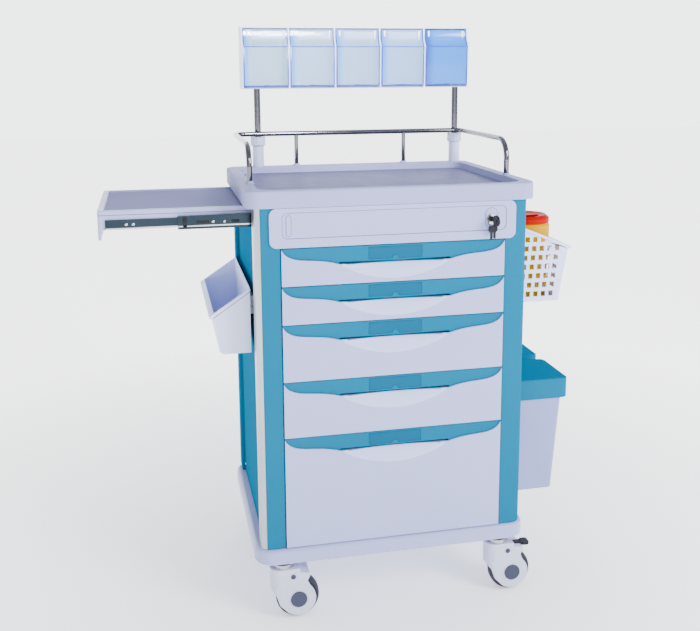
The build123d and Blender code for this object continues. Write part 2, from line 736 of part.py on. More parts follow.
# ------------------------------------------------------------------ rack, posts and tilt bins
PITCH = (RACK_RIGHT - RACK_LEFT - DIVIDER_T) / BINS
DIVIDER_XS = [RACK_LEFT + step * PITCH for step in range(BINS + 1)]
WALL_OUTLINE = [
    (156, RACK_LOW),
    (RACK_BACK, RACK_LOW),
    (RACK_BACK, RACK_TOP),
    (164, RACK_TOP),
    (164, 1258),
    (152, 1240),
]
with BuildPart() as rack_housing:
    block((RACK_LEFT, RACK_RIGHT), (RACK_BACK - RACK_T, RACK_BACK), (RACK_LOW, RACK_TOP))
    block((RACK_LEFT, RACK_RIGHT), (166, RACK_BACK), (RACK_TOP - RACK_T, RACK_TOP))
    block((RACK_LEFT, RACK_RIGHT), (166, RACK_BACK), (RACK_LOW, RACK_LOW + RACK_T))
    for divider_x in DIVIDER_XS:
        prism_x(WALL_OUTLINE, (divider_x, divider_x + DIVIDER_T))
        with BuildSketch(Plane.YZ.offset(divider_x)):
            with Locations(BIN_PIVOT):
                Circle(BIN_PIN_R + RUNNING_GAP)
        extrude(amount=DIVIDER_T, mode=Mode.SUBTRACT)
    for post_x in POST_XS:
        boss_xs = (max(post_x - 14, RACK_LEFT), min(post_x + 14, RACK_RIGHT))
        block(boss_xs, (RACK_BACK, 238), (1150, 1268))
        rod_z(post_x, POST_Y, (1150, POST_TOP), POST_R + RUNNING_GAP, Mode.SUBTRACT)
save(rack_housing, "rack_housing")

with BuildPart() as rack_posts:
    for post_x in POST_XS:
        rod_z(post_x, POST_Y, (POST_LOW, POST_TOP), POST_R)
        rod_z(post_x, POST_Y, (POST_LOW, POST_TOP - 3), POST_R - 1.5, Mode.SUBTRACT)
save(rack_posts, "rack_posts")

BIN_OUTLINE = [(154, 1143.5), (207, 1143.5), (205, 1240), (164, 1279), (162, 1257), (150, 1238)]
BIN_CAVITY = [
    (156.2, 1145.5),
    (205, 1145.5),
    (203, 1245),
    (200, 1300),
    (166.2, 1300),
    (164, 1256.4),
    (152.2, 1237.4),
]
for number in range(1, BINS + 1):
    with BuildPart() as tilt_bin:
        inner_xs = (DIVIDER_XS[number - 1] + DIVIDER_T, DIVIDER_XS[number])
        bin_xs = (inner_xs[0] + BIN_SIDE_GAP, inner_xs[1] - BIN_SIDE_GAP)
        prism_x(BIN_OUTLINE, bin_xs)
        prism_x(BIN_CAVITY, (bin_xs[0] + BIN_T, bin_xs[1] - BIN_T), Mode.SUBTRACT)
        for pin_xs in ((inner_xs[0] - 1.5, bin_xs[0]), (bin_xs[1], inner_xs[1] + 1.5)):
            with BuildSketch(Plane.YZ.offset(pin_xs[0])):
                with Locations(BIN_PIVOT):
                    Circle(BIN_PIN_R)
            extrude(amount=pin_xs[1] - pin_xs[0])
    save(tilt_bin, f"tilt_bin_{number}")

# ------------------------------------------------------------------ casters
CORNERS = {
    "front_left": (-KING_X, -KING_Y),
    "front_right": (KING_X, -KING_Y),
    "rear_left": (-KING_X, KING_Y),
    "rear_right": (KING_X, KING_Y),
}
BRAKED = ("front_right", "rear_right")

with BuildPart() as caster_plates:
    for king_x, king_y in CORNERS.values():
        block((king_x - 28, king_x + 28), (king_y - 20, king_y + 20), (154, BASE_TOP - BASE_ROOF))
        rod_z(king_x, king_y, (124, 154), 15)
        rod_z(king_x, king_y, (STEM_LOW, 124), 23)
        rod_z(king_x, king_y, (102, STEM_LOW), KING_PIN_R)
save(caster_plates, "caster_plates")


def caster_fork(king_x, king_y, braked):
    """The hood with its two cheeks, a rounded leading end, the axle, and the pedal's slot and pin."""
    hub_x = king_x + TRAIL
    cheek_ys = (king_y - FORK_HALF, king_y + FORK_HALF)
    with BuildPart() as fork:
        with BuildSketch(Plane.XZ.offset(-cheek_ys[1] - 1)):
            with Locations((hub_x, AXLE_Z)):
                Circle(DISC_R)
                Polygon(*HOOD_OUTLINE, align=None)
        extrude(amount=2 * FORK_HALF + 2)
        slab(140, 2 * FORK_HALF, 22, (0, FORK_TOP + 1), (hub_x + 10, king_y), Mode.INTERSECT)
        cavity_ys = (king_y - CAVITY_HALF, king_y + CAVITY_HALF)
        rod_y(hub_x, AXLE_Z, cavity_ys, CAVITY_R, Mode.SUBTRACT)
        rod_y(hub_x, AXLE_Z, cheek_ys, AXLE_R)
        rod_z(king_x, king_y, (95, FORK_TOP), KING_PIN_R + RUNNING_GAP, Mode.SUBTRACT)
        if braked:
            slot_xs = (hub_x - 13, hub_x + 30)
            slot_ys = (king_y - SLOT_HALF, king_y + SLOT_HALF)
            block(slot_xs, slot_ys, (AXLE_Z + DISC_R, FORK_TOP), Mode.SUBTRACT)
            rod_y(hub_x + PEDAL_PIVOT[0], AXLE_Z + PEDAL_PIVOT[1], slot_ys, 2)
    return fork


def caster_caps(king_x, king_y):
    """The round caps over the axle and the small caps over the upper pin, both sides."""
    hub_x = king_x + TRAIL
    with BuildPart() as caps:
        for ys in (
            (king_y - FORK_HALF - 3, king_y - FORK_HALF),
            (king_y + FORK_HALF, king_y + FORK_HALF + 3),
        ):
            rod_y(hub_x, AXLE_Z, ys, 18)
            rod_y(hub_x + PIN_CAP[0], AXLE_Z + PIN_CAP[1], (ys[0] + 1, ys[1] - 1), 5.5)
    return caps


def caster_wheel(king_x, king_y):
    """The hub and the tyre, one solid that turns on the axle."""
    hub_x = king_x + TRAIL
    with BuildPart() as wheel:
        rod_y(hub_x, AXLE_Z, (king_y - 14, king_y + 14), HUB_R)
        rod_y(hub_x, AXLE_Z, (king_y - 14, king_y + 14), AXLE_R + RUNNING_GAP, Mode.SUBTRACT)
        with BuildSketch(Plane.YZ.offset(hub_x)):
            with Locations((king_y, AXLE_Z)):
                Polygon(
                    (-WHEEL_HALF, HUB_R),
                    (WHEEL_HALF, HUB_R),
                    (WHEEL_HALF, WHEEL_R - 4),
                    (WHEEL_HALF - 4, WHEEL_R),
                    (4 - WHEEL_HALF, WHEEL_R),
                    (-WHEEL_HALF, WHEEL_R - 4),
                    align=None,
                )
        revolve(axis=Axis((hub_x, king_y, AXLE_Z), (0, 1, 0)))
    return wheel


def brake_pedal(king_x, king_y):
    """A foot lever: a barrel on the fork's pin, an arm along the slot, and a tread."""
    pivot = (king_x + TRAIL + PEDAL_PIVOT[0], AXLE_Z + PEDAL_PIVOT[1])
    arm_ys = (king_y - 9, king_y + 9)
    with BuildPart() as pedal:
        rod_y(pivot[0], pivot[1], arm_ys, 5)
        block((pivot[0], pivot[0] + 40), arm_ys, (pivot[1] - 3, pivot[1] + 3))
        slab(19, 24, 6, (pivot[1] - 2, pivot[1] + 4), (pivot[0] + 43.5, king_y))
        rod_y(pivot[0], pivot[1], arm_ys, 2 + RUNNING_GAP, Mode.SUBTRACT)
    return pedal


for corner_name, (king_x, king_y) in CORNERS.items():
    braked = corner_name in BRAKED
    fork = caster_fork(king_x, king_y, braked)
    caps = caster_caps(king_x, king_y)
    fork.part = Compound([*fork.part.solids(), *caps.part.solids()])
    save(fork, f"caster_fork_{corner_name}")
    save(caster_wheel(king_x, king_y), f"caster_wheel_{corner_name}")
    if braked:
        save(brake_pedal(king_x, king_y), f"brake_pedal_{corner_name}")
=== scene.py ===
import json
from math import cos, pi, radians, sin, tau

import bmesh
import bpy
from mathutils import Matrix, Vector


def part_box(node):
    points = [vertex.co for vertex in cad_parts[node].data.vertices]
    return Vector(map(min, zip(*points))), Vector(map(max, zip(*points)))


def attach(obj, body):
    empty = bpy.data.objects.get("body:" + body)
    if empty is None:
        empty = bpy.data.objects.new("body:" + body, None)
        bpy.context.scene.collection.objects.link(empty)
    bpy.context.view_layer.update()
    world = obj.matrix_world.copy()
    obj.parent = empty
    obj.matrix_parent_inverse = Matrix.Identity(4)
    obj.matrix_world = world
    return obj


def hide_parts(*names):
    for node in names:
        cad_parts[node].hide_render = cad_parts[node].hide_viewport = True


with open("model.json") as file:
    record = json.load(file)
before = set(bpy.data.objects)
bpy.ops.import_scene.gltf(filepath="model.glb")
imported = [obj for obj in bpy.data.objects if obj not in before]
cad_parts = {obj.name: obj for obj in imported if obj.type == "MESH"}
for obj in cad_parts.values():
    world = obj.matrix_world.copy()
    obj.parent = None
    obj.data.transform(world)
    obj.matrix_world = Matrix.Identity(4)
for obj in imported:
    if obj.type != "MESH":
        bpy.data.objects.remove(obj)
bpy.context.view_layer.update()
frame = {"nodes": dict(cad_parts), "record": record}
NODES = frame["nodes"]
RECORD = frame["record"]
BODY_OF = {node: body for body, nodes in RECORD["behaviour"]["bodies"].items() for node in nodes}
SLOT_OF = {part["node"]: part["material_slot"] for part in RECORD["subparts"]}
MM = 0.001
NUMBERS = range(1, 6)

# ------------------------------------------------------------------ camera, floor and light
CAMERA_PLACE = Vector((-0.4938, -2.1019, 1.2014))
CAMERA_YAW = radians(12.56)
CAMERA_DOWN = radians(10.38)
CAMERA_ROLL = radians(-0.26)
CAMERA_LENS = 48.17
CAMERA_SENSOR = 36
CAMERA_SHIFT = (-0.0133, -0.114)
CAMERA_REACH = 60
# Soft square lights: name, place, aim, side, power and tint.
SOFT_LIGHTS = (
    ("key", (1.9, -2.5, 2.3), (0, 0, 0.75), 1.3, 150, (0.96, 0.97, 1.0)),
    ("front", (-0.2, -3.6, 1.5), (0, 0, 0.6), 2.0, 26, (0.95, 0.97, 1.0)),
    ("top", (0.2, 0.3, 3.4), (0, 0, 0.9), 1.8, 6, (0.96, 0.98, 1.0)),
)
SPOT_PLACE = (0.05, -1.5, 2.0)
SPOT_AIM = (0.0, 0.2, 1.24)
SPOT_ANGLE = radians(26)
SPOT_POWER = 270
SURROUND_TINT = (0.95, 0.97, 1.0)
SURROUND_FRONT = 1.1
SURROUND_BEHIND = 4.1
SURROUND_ABOVE = -0.3
FLOOR_HALF = 14
# The floor glows less near the cart, a painted soft shadow round it, and rises to its full glow between
# these radii.
FLOOR_GLOW_NEAR = 0.7
FLOOR_GLOW_FAR = 2.6
FLOOR_PAINTED_SHADOW_RADII = (0.35, 1.9)


def make_camera():
    """A camera in front of the cart's left corner that looks down on it a little."""
    data = bpy.data.cameras.new("camera")
    data.lens = CAMERA_LENS
    data.sensor_width = CAMERA_SENSOR
    data.shift_x, data.shift_y = CAMERA_SHIFT
    data.clip_end = CAMERA_REACH
    ahead = Vector(
        (
            sin(CAMERA_YAW) * cos(CAMERA_DOWN),
            cos(CAMERA_YAW) * cos(CAMERA_DOWN),
            -sin(CAMERA_DOWN),
        )
    )
    right = Vector((cos(CAMERA_YAW), -sin(CAMERA_YAW), 0))
    up = right.cross(ahead)
    rolled_right = cos(CAMERA_ROLL) * right + sin(CAMERA_ROLL) * up
    rolled_up = cos(CAMERA_ROLL) * up - sin(CAMERA_ROLL) * right
    turn = Matrix((rolled_right, rolled_up, -ahead)).transposed()
    camera = bpy.data.objects.new("camera", data)
    camera.matrix_world = Matrix.Translation(CAMERA_PLACE) @ turn.to_4x4()
    bpy.context.scene.collection.objects.link(camera)
    bpy.context.scene.camera = camera


def stand_light(data, place, aim):
    """Puts a light at a place, looking at a point."""
    light = bpy.data.objects.new(data.name, data)
    place = Vector(place)
    facing = (Vector(aim) - place).to_track_quat("-Z", "Y")
    light.matrix_world = Matrix.Translation(place) @ facing.to_matrix().to_4x4()
    bpy.context.scene.collection.objects.link(light)


def soft_light(name, place, aim, side, power, tint):
    """A square soft light."""
    data = bpy.data.lights.new(name, "AREA")
    data.size = side
    data.energy = power
    data.color = tint
    stand_light(data, place, aim)


def rack_spot():
    """A narrow soft spot that lifts the tilt bins."""
    data = bpy.data.lights.new("rack_spot", "SPOT")
    data.energy = SPOT_POWER
    data.spot_size = SPOT_ANGLE
    data.spot_blend = 0.6
    data.shadow_soft_size = 0.2
    stand_light(data, SPOT_PLACE, SPOT_AIM)


def make_surround():
    """A surround that is brightest behind the cart and a little dimmer above."""
    world = bpy.data.worlds.new("surround")
    world.use_nodes = True
    tree = world.node_tree
    back = tree.nodes["Background"]
    back.inputs["Color"].default_value = (*SURROUND_TINT, 1)
    direction = tree.nodes.new("ShaderNodeTexCoord").outputs["Generated"]
    behind = spread(tree, axis(tree, direction, "Y"), SURROUND_FRONT, SURROUND_BEHIND, 0.5, 0.8)
    above = spread(tree, axis(tree, direction, "Z"), 0.0, SURROUND_ABOVE, 0.15, 0.8)
    tree.links.new(combine(tree, "ADD", behind, above), back.inputs["Strength"])
    bpy.context.scene.world = world


def make_studio():
    """A pale floor, the surround, three soft lights and a spot."""
    make_surround()
    for light in SOFT_LIGHTS:
        soft_light(*light)
    rack_spot()
    floor_mesh = bpy.data.meshes.new("floor")
    shape = bmesh.new()
    bmesh.ops.create_grid(shape, x_segments=8, y_segments=8, size=FLOOR_HALF)
    shape.to_mesh(floor_mesh)
    shape.free()
    floor = bpy.data.objects.new("floor", floor_mesh)
    floor_mesh.materials.append(floor_material())
    bpy.context.scene.collection.objects.link(floor)


# ------------------------------------------------------------------ material building blocks
def start_material(name):
    """An empty material with its shader wired to the output."""
    material = bpy.data.materials.new(name)
    material.use_nodes = True
    tree = material.node_tree
    tree.nodes.clear()
    output = tree.nodes.new("ShaderNodeOutputMaterial")
    shader = tree.nodes.new("ShaderNodeBsdfPrincipled")
    tree.links.new(shader.outputs["BSDF"], output.inputs["Surface"])
    return material, tree, shader


def place_vector(tree, stretch=(1, 1, 1)):
    """The object's own coordinates in metres, stretched along its axes."""
    place = tree.nodes.new("ShaderNodeTexCoord")
    mapping = tree.nodes.new("ShaderNodeMapping")
    mapping.inputs["Scale"].default_value = stretch
    tree.links.new(place.outputs["Object"], mapping.inputs["Vector"])
    return mapping.outputs["Vector"]


def axis(tree, vector, letter):
    """One of a vector's three parts."""
    node = tree.nodes.new("ShaderNodeSeparateXYZ")
    tree.links.new(vector, node.inputs["Vector"])
    return node.outputs[letter]


def combine(tree, operation, first, second):
    """Two values put together by a named operation."""
    node = tree.nodes.new("ShaderNodeMath")
    node.operation = operation
    tree.links.new(first, node.inputs[0])
    tree.links.new(second, node.inputs[1])
    return node.outputs["Value"]


def noise(tree, vector, scale, detail, rough=0.5):
    """A noise pattern's value."""
    node = tree.nodes.new("ShaderNodeTexNoise")
    node.inputs["Scale"].default_value = scale
    node.inputs["Detail"].default_value = detail
    node.inputs["Roughness"].default_value = rough
    tree.links.new(vector, node.inputs["Vector"])
    return node.outputs["Fac"]


def spread(tree, value, low, high, start=0.3, stop=0.7):
    """A value from one range mapped on to another; noise lies mostly from 0.3 to 0.7."""
    node = tree.nodes.new("ShaderNodeMapRange")
    node.inputs["From Min"].default_value = start
    node.inputs["From Max"].default_value = stop
    node.inputs["To Min"].default_value = low
    node.inputs["To Max"].default_value = high
    tree.links.new(value, node.inputs["Value"])
    return node.outputs["Result"]


def two_tone(tree, amount, first, second):
    """A colour between two fixed ones."""
    node = tree.nodes.new("ShaderNodeMix")
    node.data_type = "RGBA"
    node.inputs["A"].default_value = (*first, 1)
    node.inputs["B"].default_value = (*second, 1)
    tree.links.new(amount, node.inputs["Factor"])
    return node.outputs["Result"]


def towards(tree, amount, colour, target):
    """A colour taken towards a fixed one."""
    node = tree.nodes.new("ShaderNodeMix")
    node.data_type = "RGBA"
    node.inputs["B"].default_value = (*target, 1)
    tree.links.new(amount, node.inputs["Factor"])
    tree.links.new(colour, node.inputs["A"])
    return node.outputs["Result"]


def relief(tree, shader, height, depth, edge=0.0):
    """Bump from a height pattern, on edges that the shader rounds off."""
    bump = tree.nodes.new("ShaderNodeBump")
    bump.inputs["Strength"].default_value = 1.0
    bump.inputs["Distance"].default_value = depth
    tree.links.new(height, bump.inputs["Height"])
    if edge:
        rounding = tree.nodes.new("ShaderNodeBevel")
        rounding.samples = 4
        rounding.inputs["Radius"].default_value = edge
        tree.links.new(rounding.outputs["Normal"], bump.inputs["Normal"])
    tree.links.new(bump.outputs["Normal"], shader.inputs["Normal"])


def moulded(name, colour, shade, rough, grain=0.00004, coat=0.0, edge=0.0012, gloss=0.5, worn=0.5):
    """Moulded plastic: faint mottling, fine grain, handling marks and lighter edges."""
    material, tree, shader = start_material(name)
    vector = place_vector(tree)
    mottle = spread(tree, noise(tree, vector, scale=5.0, detail=4.0), 0.0, 1.0)
    base = two_tone(tree, mottle, colour, shade)
    lighter = [min(1.0, part * 1.15 + 0.04) for part in colour]
    shape = tree.nodes.new("ShaderNodeNewGeometry")
    rub = spread(tree, shape.outputs["Pointiness"], 0.0, worn, 0.52, 0.62)
    tree.links.new(towards(tree, rub, base, lighter), shader.inputs["Base Color"])
    smear = spread(tree, noise(tree, vector, scale=22.0, detail=5.0, rough=0.65), *rough)
    tree.links.new(smear, shader.inputs["Roughness"])
    shader.inputs["Coat Weight"].default_value = coat
    shader.inputs["Coat Roughness"].default_value = 0.12
    shader.inputs["IOR"].default_value = 1.5
    shader.inputs["Specular IOR Level"].default_value = gloss
    relief(tree, shader, noise(tree, vector, scale=1400.0, detail=2.0), grain, edge)
    return material


def paint_recess_shade(material, colour, floor_below):
    """Darkens the level faces of a material that lie below a height: painted shade in a recess."""
    tree = material.node_tree
    base = tree.nodes["Principled BSDF"].inputs["Base Color"]
    shape = tree.nodes.new("ShaderNodeNewGeometry")
    level = spread(tree, axis(tree, shape.outputs["Normal"], "Z"), 0.0, 1.0, 0.8, 0.95)
    height = axis(tree, place_vector(tree), "Z")
    low = spread(tree, height, 1.0, 0.0, floor_below - 2 * MM, floor_below)
    both = combine(tree, "MULTIPLY", level, low)
    tree.links.new(towards(tree, both, base.links[0].from_socket, colour), base)


def metal(name, colour, shade, rough, stretch):
    """Metal with fine lines drawn along one way."""
    material, tree, shader = start_material(name)
    lines = noise(tree, place_vector(tree, stretch), scale=90.0, detail=4.0, rough=0.6)
    cloud = noise(tree, place_vector(tree), scale=9.0, detail=4.0)
    tint = two_tone(tree, spread(tree, cloud, 0.0, 1.0), colour, shade)
    tree.links.new(tint, shader.inputs["Base Color"])
    shader.inputs["Metallic"].default_value = 1.0
    tree.links.new(spread(tree, lines, *rough), shader.inputs["Roughness"])
    relief(tree, shader, lines, depth=0.00002, edge=0.0004)
    return material


def tinted_clear(name, colour, deep, cover, left_edge):
    """Clear tinted plastic, deeper where it is seen edge on, and deeper along its left side, which
    stands partly for the left side wall seen through and partly for painted shade from the housing.
    """
    material, tree, shader = start_material(name)
    vector = place_vector(tree)
    facing = tree.nodes.new("ShaderNodeLayerWeight")
    facing.inputs["Blend"].default_value = 0.45
    turn = spread(tree, facing.outputs["Facing"], 0.0, 1.0, 0.1, 0.9)
    # Deeper along the left side: partly the side wall seen through, partly painted shade from the
    # housing.
    wall_start, wall_stop = left_edge + 8 * MM, left_edge + 26 * MM
    wall = spread(tree, axis(tree, vector, "X"), 0.9, 0.0, wall_start, wall_stop)
    depth = combine(tree, "MAXIMUM", turn, wall)
    tree.links.new(two_tone(tree, depth, colour, deep), shader.inputs["Base Color"])
    tree.links.new(spread(tree, depth, *cover, 0.0, 1.0), shader.inputs["Alpha"])
    cloud = noise(tree, vector, scale=30.0, detail=4.0)
    tree.links.new(spread(tree, cloud, 0.05, 0.12), shader.inputs["Roughness"])
    shader.inputs["Coat Weight"].default_value = 0.6
    shader.inputs["Coat Roughness"].default_value = 0.04
    ripple = noise(tree, vector, scale=160.0, detail=2.0)
    relief(tree, shader, ripple, depth=0.00003, edge=0.0006)
    return material


def floor_material():
    """Pale matt studio paper that glows more, away from the cart; its dimmer glow near the cart is a
    painted soft shadow.
    """
    material, tree, shader = start_material("studio_floor")
    vector = place_vector(tree)
    pulp = spread(tree, noise(tree, vector, scale=40.0, detail=4.0), 0.0, 1.0)
    paper = two_tone(tree, pulp, (0.93, 0.935, 0.945), (0.945, 0.95, 0.955))
    tree.links.new(paper, shader.inputs["Base Color"])
    shader.inputs["Roughness"].default_value = 0.85
    shader.inputs["Emission Color"].default_value = (0.97, 0.98, 1.0, 1)
    reach = tree.nodes.new("ShaderNodeVectorMath")
    reach.operation = "LENGTH"
    tree.links.new(vector, reach.inputs[0])
    away = reach.outputs["Value"]
    glow = spread(tree, away, FLOOR_GLOW_NEAR, FLOOR_GLOW_FAR, *FLOOR_PAINTED_SHADOW_RADII)
    tree.links.new(glow, shader.inputs["Emission Strength"])
    relief(tree, shader, noise(tree, vector, scale=500.0, detail=2.0), depth=0.00008)
    return material


# ------------------------------------------------------------------ the cart's materials
TEAL = ((0.0, 0.136, 0.25), (0.0, 0.128, 0.236))
BIN_EDGE_LOOK = dict(coat=0.2, edge=0.0003, gloss=0.2)
TYRE_LOOK = dict(grain=0.0001, gloss=0.2, worn=0.1)

# Plastics: name, colour, second colour, range of roughness, and what differs from the usual.
PLASTICS = (
    ("white_abs", (0.36, 0.39, 0.67), (0.34, 0.37, 0.65), (0.3, 0.42), dict(gloss=0.35, worn=0.35)),
    ("worktop_white", (0.32, 0.34, 0.58), (0.30, 0.32, 0.56), (0.42, 0.55), dict(gloss=0.02, worn=0.35)),
    ("white_panel", (0.40, 0.44, 0.64), (0.38, 0.42, 0.62), (0.35, 0.5), dict(grain=0.00008)),
    # A darker copy of the white plastic for the shelf's floor: painted shade.
    ("shelf_floor_painted_shade", (0.25, 0.26, 0.44), (0.235, 0.245, 0.42), (0.42, 0.55), dict(gloss=0.0, worn=0.2)),
    # A much lighter copy of the white plastic for the utility box and the sharps basket: painted light.
    ("utility_white_painted_light", (0.66, 0.71, 1.0), (0.63, 0.68, 0.98), (0.35, 0.5), dict(gloss=0.2, worn=0.35)),
    # A darker copy of the white plastic for the waste buckets: painted shade.
    ("bucket_painted_shade", (0.27, 0.30, 0.56), (0.25, 0.28, 0.54), (0.35, 0.5), dict(gloss=0.2, worn=0.35)),
    # A much lighter copy of the white plastic for the rack's housing, behind the bins: painted light.
    ("rack_white_painted_light", (0.74, 0.82, 1.0), (0.70, 0.79, 0.98), (0.35, 0.5), dict(gloss=0.2, worn=0.3)),
    # A lighter copy of the white plastic for the drawers' finger scoops: a painted highlight where they
    # face up.
    ("scoop_painted_highlight", (0.50, 0.54, 0.86), (0.48, 0.52, 0.84), (0.3, 0.42), dict(gloss=0.35, worn=0.35)),
    # Dark lines under the mouldings' edges: painted shadow.
    ("moulding_painted_shadow", (0.13, 0.145, 0.32), (0.12, 0.135, 0.30), (0.4, 0.55), dict(gloss=0.1, worn=0.1)),
    ("teal_panel", *TEAL, (0.5, 0.65), dict(grain=0.00008, gloss=0.0, worn=0.05)),
    ("teal_abs", *TEAL, (0.32, 0.45), dict(gloss=0.0, worn=0.05)),
    ("teal_plate", (0.0, 0.098, 0.19), (0.0, 0.090, 0.18), (0.32, 0.45), dict(gloss=0.03, worn=0.05)),
    ("grey_box", (0.40, 0.42, 0.50), (0.37, 0.39, 0.47), (0.4, 0.55), dict()),
    ("sleeve_plastic", (0.44, 0.48, 0.68), (0.42, 0.46, 0.66), (0.3, 0.42), dict()),
    ("key_black", (0.010, 0.010, 0.014), (0.016, 0.016, 0.022), (0.35, 0.5), dict(gloss=0.12, worn=0.1)),
    ("sharps_yellow", (0.58, 0.31, 0.0), (0.55, 0.29, 0.0), (0.32, 0.44), dict(gloss=0.03, worn=0.02)),
    ("sharps_red", (0.40, 0.001, 0.0), (0.37, 0.001, 0.0), (0.3, 0.42), dict(gloss=0.02, worn=0.02)),
    ("caster_hood", (0.56, 0.58, 0.74), (0.54, 0.56, 0.72), (0.2, 0.32), dict(coat=0.2)),
    ("caster_tyre", (0.03, 0.032, 0.045), (0.022, 0.024, 0.035), (0.5, 0.65), TYRE_LOOK),
    ("caster_cap", (0.05, 0.056, 0.09), (0.042, 0.048, 0.08), (0.4, 0.5), dict(gloss=0.15, worn=0.1)),
    ("bin_edge", (0.002, 0.035, 0.42), (0.004, 0.05, 0.48), (0.1, 0.2), BIN_EDGE_LOOK),
    ("bin_edge_deep", (0.001, 0.02, 0.30), (0.001, 0.03, 0.34), (0.1, 0.2), BIN_EDGE_LOOK),
    ("bin_grip", (0.94, 0.97, 1.0), (0.9, 0.94, 1.0), (0.15, 0.25), dict(coat=0.3, edge=0.0004)),
)
# Metals: name, colour, second colour, range of roughness, and how its lines are stretched.
METALS = (
    ("aluminium", (0.40, 0.41, 0.44), (0.36, 0.37, 0.41), (0.28, 0.42), (1, 1, 0.02)),
    ("steel_tube", (0.15, 0.15, 0.17), (0.12, 0.12, 0.14), (0.06, 0.14), (0.1, 0.1, 1)),
    ("slide_steel", (0.028, 0.040, 0.052), (0.016, 0.026, 0.034), (0.12, 0.28), (0.03, 1, 1)),
    ("bracket_steel", (0.5, 0.5, 0.52), (0.42, 0.42, 0.45), (0.25, 0.4), (1, 0.05, 1)),
    ("lock_metal", (0.6, 0.6, 0.62), (0.5, 0.5, 0.53), (0.12, 0.25), (1, 1, 1)),
    ("bright_lip", (0.55, 0.55, 0.57), (0.48, 0.48, 0.50), (0.1, 0.22), (0.05, 1, 1)),
)
# The colour of the worktop's recess floor is painted shade, darker than its white.
WORKTOP_RECESS_PAINTED_SHADE = (0.14, 0.145, 0.28)
WORKTOP_RIM = 6 * MM
# How far each bin's tint is from the light one to the deep one, from left to right, and each
# tint's colours face on and edge on.
BIN_DEPTHS = (0.12, 0.22, 0.30, 0.40, 1.0)
LIGHT_BIN = ((0.60, 0.84, 1.0), (0.07, 0.32, 0.85))
DEEP_BIN = ((0.02, 0.24, 0.85), (0.0, 0.06, 0.42))


def bin_material(number):
    """The bins' tint deepens towards the right-hand one."""
    depth = BIN_DEPTHS[number - 1]
    body, edge = [
        [a + depth * (b - a) for a, b in zip(light, deep)] for light, deep in zip(LIGHT_BIN, DEEP_BIN)
    ]
    cover = (0.18 + 0.42 * depth, 0.94)
    left_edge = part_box(f"tilt_bin_{number}")[0][0]
    return tinted_clear(f"clear_blue_{number}", body, edge, cover, left_edge)


MATERIALS = {name: moulded(name, *looks, **more) for name, *looks, more in PLASTICS}
MATERIALS.update({name: metal(name, *looks) for name, *looks in METALS})
MATERIALS.update({f"clear_blue_{number}": bin_material(number) for number in NUMBERS})
paint_recess_shade(MATERIALS["worktop_white"], WORKTOP_RECESS_PAINTED_SHADE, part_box("worktop")[1][2] - WORKTOP_RIM)


# ------------------------------------------------------------------ piece building blocks
WELD = 0.001 * MM
CAD_WELD = 0.002 * MM
FLAT_ANGLE = radians(0.6)
CAD_EDGE_ANGLE = radians(33)
COPY_SHARP_ANGLE = radians(40)
SHARP_ANGLE = radians(38)


def add_piece(name, shape, material, body, replaced=()):
    """Turns a bmesh into a piece that rides on a body and may stand for CAD nodes."""
    mesh = bpy.data.meshes.new(name)
    shape.to_mesh(mesh)
    shape.free()
    mesh.materials.append(MATERIALS[material])
    piece = bpy.data.objects.new(name, mesh)
    bpy.context.scene.collection.objects.link(piece)
    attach(piece, body)
    if replaced:
        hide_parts(*replaced)
    return piece


def smooth(shape, sharp_angle):
    """Smooth shading that breaks at sharp edges."""
    for face in shape.faces:
        face.smooth = True
    for edge in shape.edges:
        edge.smooth = not (edge.is_manifold and edge.calc_face_angle(0) > sharp_angle)


def level_normals(piece):
    """Keeps large flat faces flat where they meet rounded edges."""
    leveller = piece.modifiers.new("level", "WEIGHTED_NORMAL")
    leveller.keep_sharp = True
    leveller.weight = 80


def rounded_copy(node, width, material):
    """A copy of a CAD node with its edges rounded off, which replaces it."""
    shape = bmesh.new()
    shape.from_mesh(NODES[node].data)
    bmesh.ops.remove_doubles(shape, verts=shape.verts, dist=CAD_WELD)
    bmesh.ops.dissolve_limit(
        shape,
        angle_limit=FLAT_ANGLE,
        use_dissolve_boundaries=False,
        verts=shape.verts,
        edges=shape.edges,
    )
    sharp = [e for e in shape.edges if e.is_manifold and e.calc_face_angle(0) > CAD_EDGE_ANGLE]
    bmesh.ops.bevel(
        shape,
        geom=sharp,
        offset=width,
        segments=3,
        profile=0.5,
        affect="EDGES",
        clamp_overlap=True,
    )
    smooth(shape, COPY_SHARP_ANGLE)
    for face in shape.faces:
        face.material_index = 0
    piece = add_piece(node + "_finish", shape, material, BODY_OF[node], (node,))
    mesh = piece.data
    if "custom_normal" in mesh.attributes:
        mesh.attributes.remove(mesh.attributes["custom_normal"])
    level_normals(piece)
    return piece


def keep(node, material):
    """A CAD node that stays as it is, with a finished material."""
    mesh = NODES[node].data
    if not mesh.materials:
        mesh.materials.append(MATERIALS[material])
    for index in range(len(mesh.materials)):
        mesh.materials[index] = MATERIALS[material]


def repaint(piece, material, wanted, box):
    """Gives a second material to the faces of a piece that are wanted."""
    piece.data.materials.append(MATERIALS[material])
    for face in piece.data.polygons:
        if wanted(face, *box):
            face.material_index = 1


def lathe(shape, profile, centre, axle, steps):
    """Spins (radius, along) points round an axle through a centre."""
    axle = Vector(axle)
    side = axle.orthogonal().normalized()
    other = axle.cross(side)
    rings = []
    for radius, along in profile:
        ring = []
        for step in range(steps):
            turn = tau * step / steps
            spoke = side * cos(turn) + other * sin(turn)
            ring.append(shape.verts.new(Vector(centre) + axle * along + spoke * radius))
        rings.append(ring)
    for near, far in zip(rings, rings[1:]):
        for step in range(steps):
            after = (step + 1) % steps
            shape.faces.new((near[step], near[after], far[after], far[step]))


